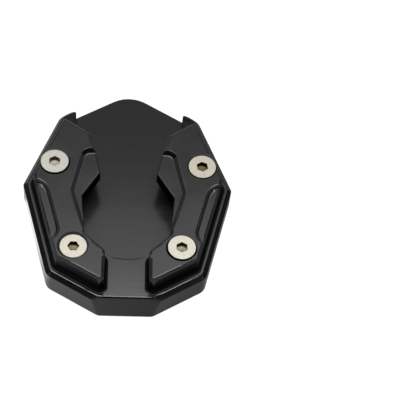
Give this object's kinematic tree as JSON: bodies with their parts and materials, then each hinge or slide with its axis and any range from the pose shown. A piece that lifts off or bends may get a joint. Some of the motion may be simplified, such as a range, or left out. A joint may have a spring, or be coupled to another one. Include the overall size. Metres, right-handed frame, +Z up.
{
  "type": "side stand foot enlarger",
  "caption": "Milled sole plate with a rounded rear tongue, a pocket for a side stand's foot, winged clamp plates on raised rails and round grip grooves below.",
  "frame": {"origin": "middle of the sole plate's box, on the ground", "axes": "+Z up; +Y towards the open rear end of the pocket; X across, with the YZ plane as the plane of symmetry"},
  "size_m": [0.0906, 0.1126, 0.0223],
  "materials": {
    "base_plate": "black anodised, fine milling marks",
    "clamps": "black anodised, satin",
    "screws": "plated, satin"
  },
  "bodies": {
    "root": {"base_plate": "base_plate", "left_clamp": "clamps", "right_clamp": "clamps", "screw_left_rear": "screws", "screw_right_rear": "screws", "screw_left_front": "screws", "screw_right_front": "screws"}
  },
  "joints": []
}
